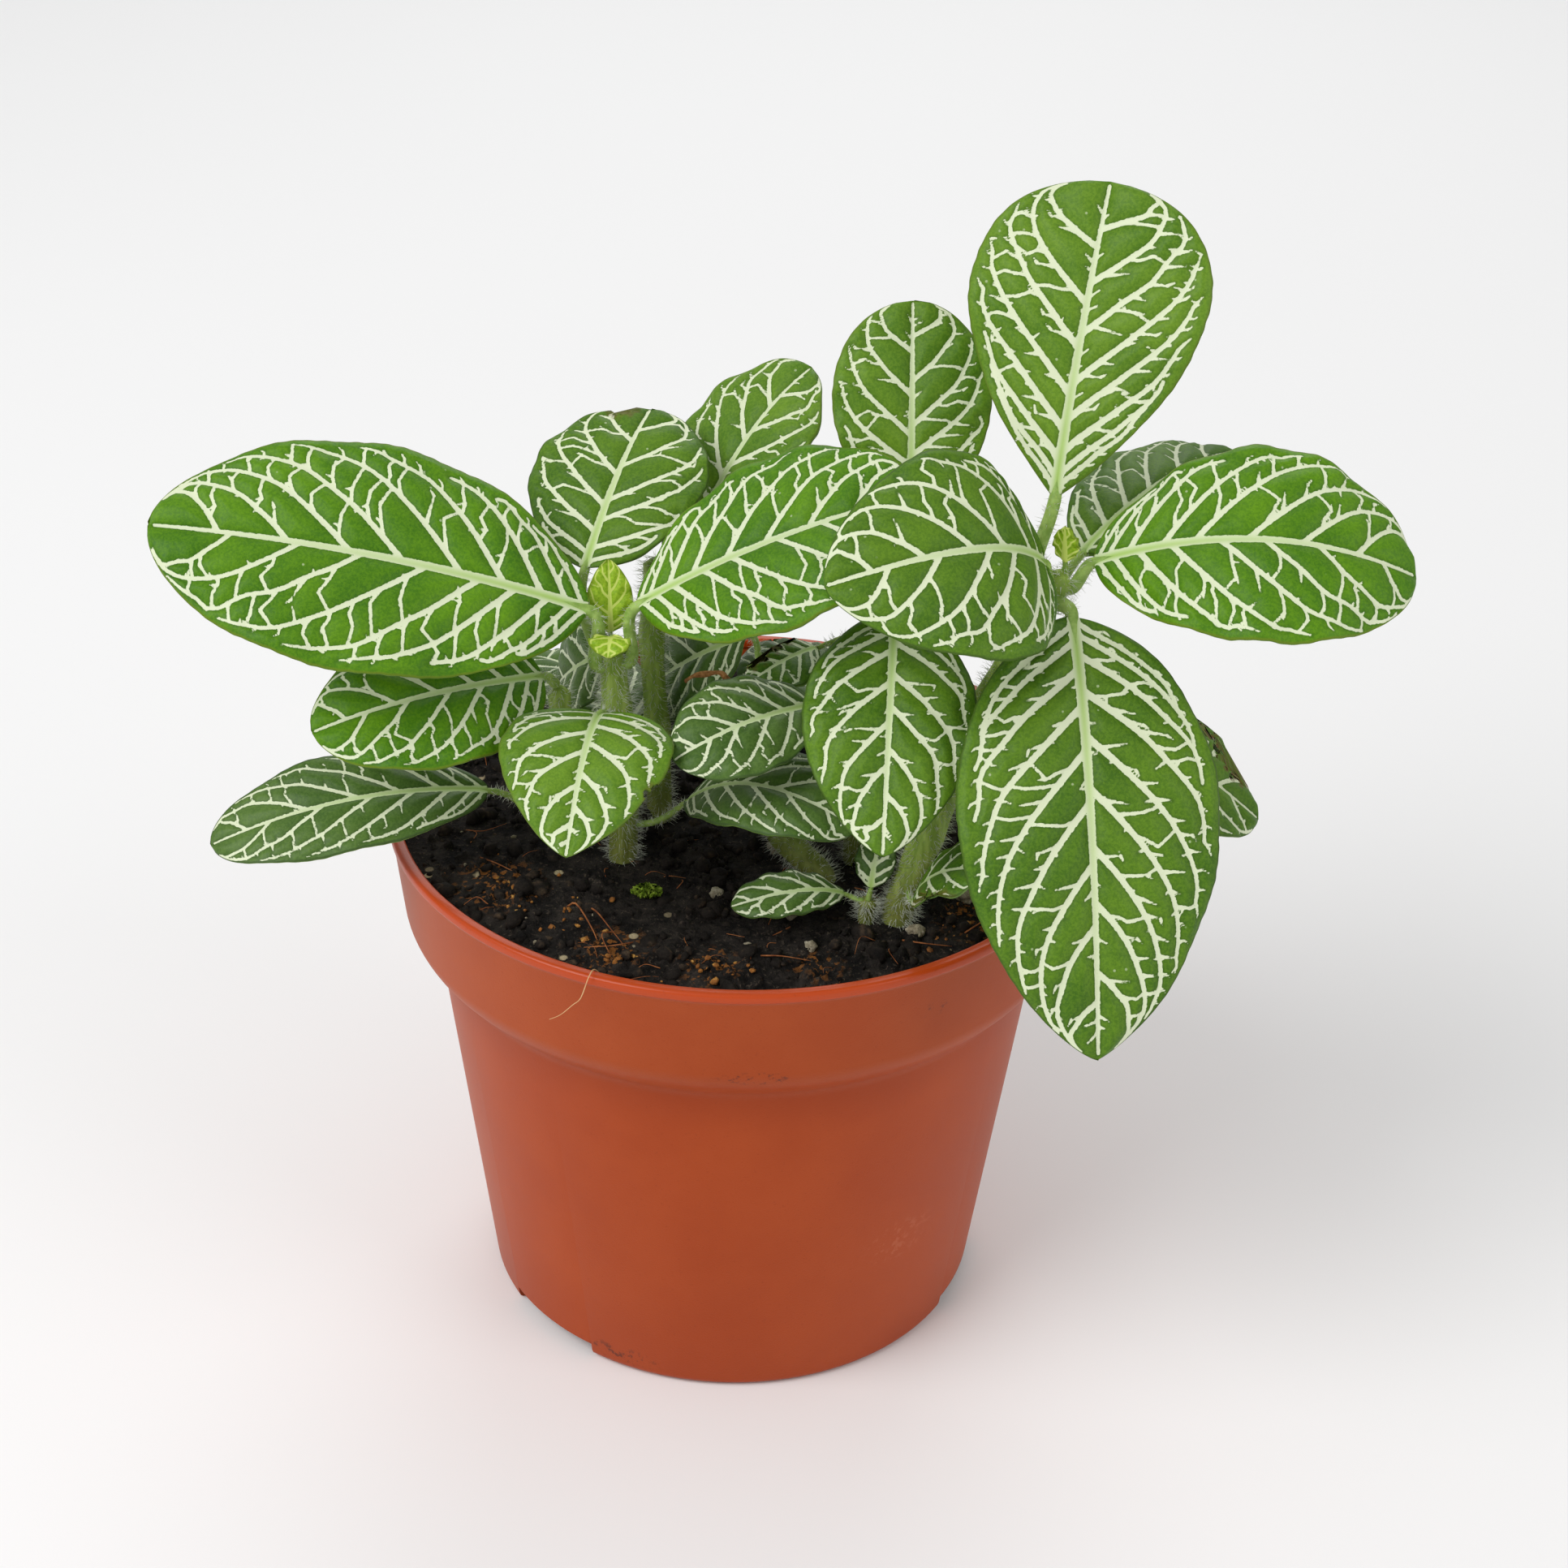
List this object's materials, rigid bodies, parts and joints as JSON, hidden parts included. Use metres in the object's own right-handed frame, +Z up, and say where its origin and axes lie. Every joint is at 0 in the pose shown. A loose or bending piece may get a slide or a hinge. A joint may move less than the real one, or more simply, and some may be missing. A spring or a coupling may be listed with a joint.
{
  "type": "potted plant",
  "caption": "Potted nerve plant: rooted cuttings with white net-veined oval leaves, standing in potting mix in a round tapered plastic nursery pot with a wide collar.",
  "frame": {"origin": "under the middle of the whole plant's box, on the surface that the pot stands on; the pot's axis is 4.9 mm to -X and 2.7 mm to +Y of it, because the leaves reach further to +X and -Y", "axes": "+Z up along the pot's axis; -Y towards the side from which the plant is usually seen, with the long drooping leaf hanging over the rim at +X -Y"},
  "size_m": [0.1723, 0.1114, 0.1793],
  "materials": {
    "terracotta_plastic": "thin moulded plastic, terracotta orange-brown, faint satin sheen",
    "potting_mix": "moist dark peat and bark fibre, matt and crumbly",
    "stem_green": "soft green stem with short white hairs",
    "leaf_green": "mid to deep green blade with a raised net of cream-white veins, satin",
    "bud_green": "young yellow-green leaf, satin",
    "dry_stalk_brown": "withered brown stalk, matt",
    "perlite_white": "off-white expanded mineral grain, matt",
    "moss_green": "bright green moss tuft, matt"
  },
  "bodies": {
    "root": {"bud_left_lower": "bud_green", "bud_left_upper": "bud_green", "bud_right": "bud_green", "dry_stalk": "dry_stalk_brown", "leaf_centre_back": "leaf_green", "leaf_centre_front": "leaf_green", "leaf_centre_left": "leaf_green", "leaf_centre_rear": "leaf_green", "leaf_centre_right": "leaf_green", "leaf_centre_torn": "leaf_green", "leaf_left_back": "leaf_green", "leaf_left_front": "leaf_green", "leaf_left_inner": "leaf_green", "leaf_left_large": "leaf_green", "leaf_left_low_right": "leaf_green", "leaf_left_lower": "leaf_green", "leaf_left_lowest": "leaf_green", "leaf_middle_left": "leaf_green", "leaf_offset_left": "leaf_green", "leaf_offset_upright": "leaf_green", "leaf_rear": "leaf_green", "leaf_rear_dark": "leaf_green", "leaf_rear_low": "leaf_green", "leaf_rear_right": "leaf_green", "leaf_right_back": "leaf_green", "leaf_right_front": "leaf_green", "leaf_right_inner": "leaf_green", "leaf_right_low": "leaf_green", "leaf_right_outer": "leaf_green", "leaf_right_rear": "leaf_green", "leaf_right_tall": "leaf_green", "leaf_right_torn": "leaf_green", "moss_tuft": "moss_green", "perlite_1": "perlite_white", "perlite_2": "perlite_white", "perlite_3": "perlite_white", "perlite_4": "perlite_white", "perlite_5": "perlite_white", "perlite_6": "perlite_white", "perlite_7": "perlite_white", "perlite_8": "perlite_white", "pot": "terracotta_plastic", "potting_mix": "potting_mix", "stem_centre": "stem_green", "stem_left": "stem_green", "stem_left_rear": "stem_green", "stem_left_side": "stem_green", "stem_middle": "stem_green", "stem_offset": "stem_green", "stem_right": "stem_green"}
  },
  "joints": []
}
